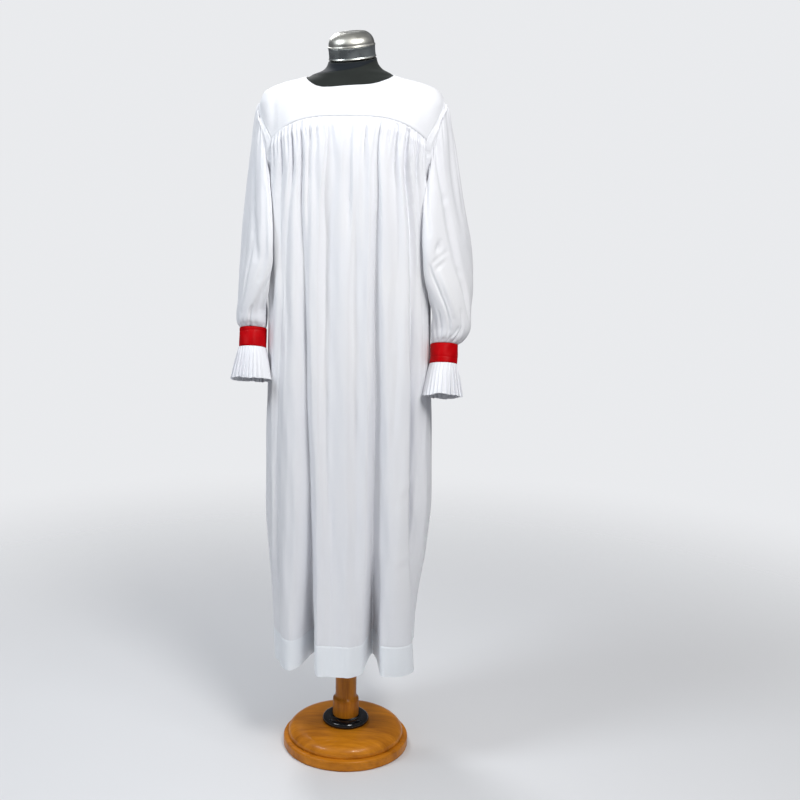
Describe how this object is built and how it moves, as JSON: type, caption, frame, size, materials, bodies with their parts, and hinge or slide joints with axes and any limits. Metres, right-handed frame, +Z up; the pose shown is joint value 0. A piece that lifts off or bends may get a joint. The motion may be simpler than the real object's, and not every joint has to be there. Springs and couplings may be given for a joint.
{
  "type": "rochet on a dress form",
  "caption": "Long white gathered rochet with a plain yoke, full sleeves, red wristbands and pleated cuff frills, worn by a limbless dress form on a turned wooden stand.",
  "frame": {"origin": "centre of the round base's underside, on the floor", "axes": "+Z up along the stand's pole, -Y the way the garment faces, +X the wearer's left side, which is on the right as seen from the front. Left and right in the nodes' names are as seen from the front."},
  "size_m": [0.549, 0.3121, 1.7018],
  "materials": {
    "white_poplin": "matte, fine plain weave",
    "red_satin": "soft satin sheen",
    "black_jersey": "matte knit cover",
    "bright_metal": "brushed and polished",
    "varnished_wood": "glossy varnish",
    "gloss_black": "high gloss"
  },
  "bodies": {
    "root": {"yoke_front": "white_poplin", "yoke_back": "white_poplin", "body_front": "white_poplin", "body_back": "white_poplin", "sleeve_left": "white_poplin", "sleeve_right": "white_poplin", "wristband_left": "red_satin", "wristband_right": "red_satin", "cuff_ruffle_left": "white_poplin", "cuff_ruffle_right": "white_poplin", "form_torso": "black_jersey", "neck_cap": "bright_metal", "stand_pole": "varnished_wood", "base_ring": "gloss_black", "base_dome": "varnished_wood", "base_plate": "varnished_wood"}
  },
  "joints": []
}
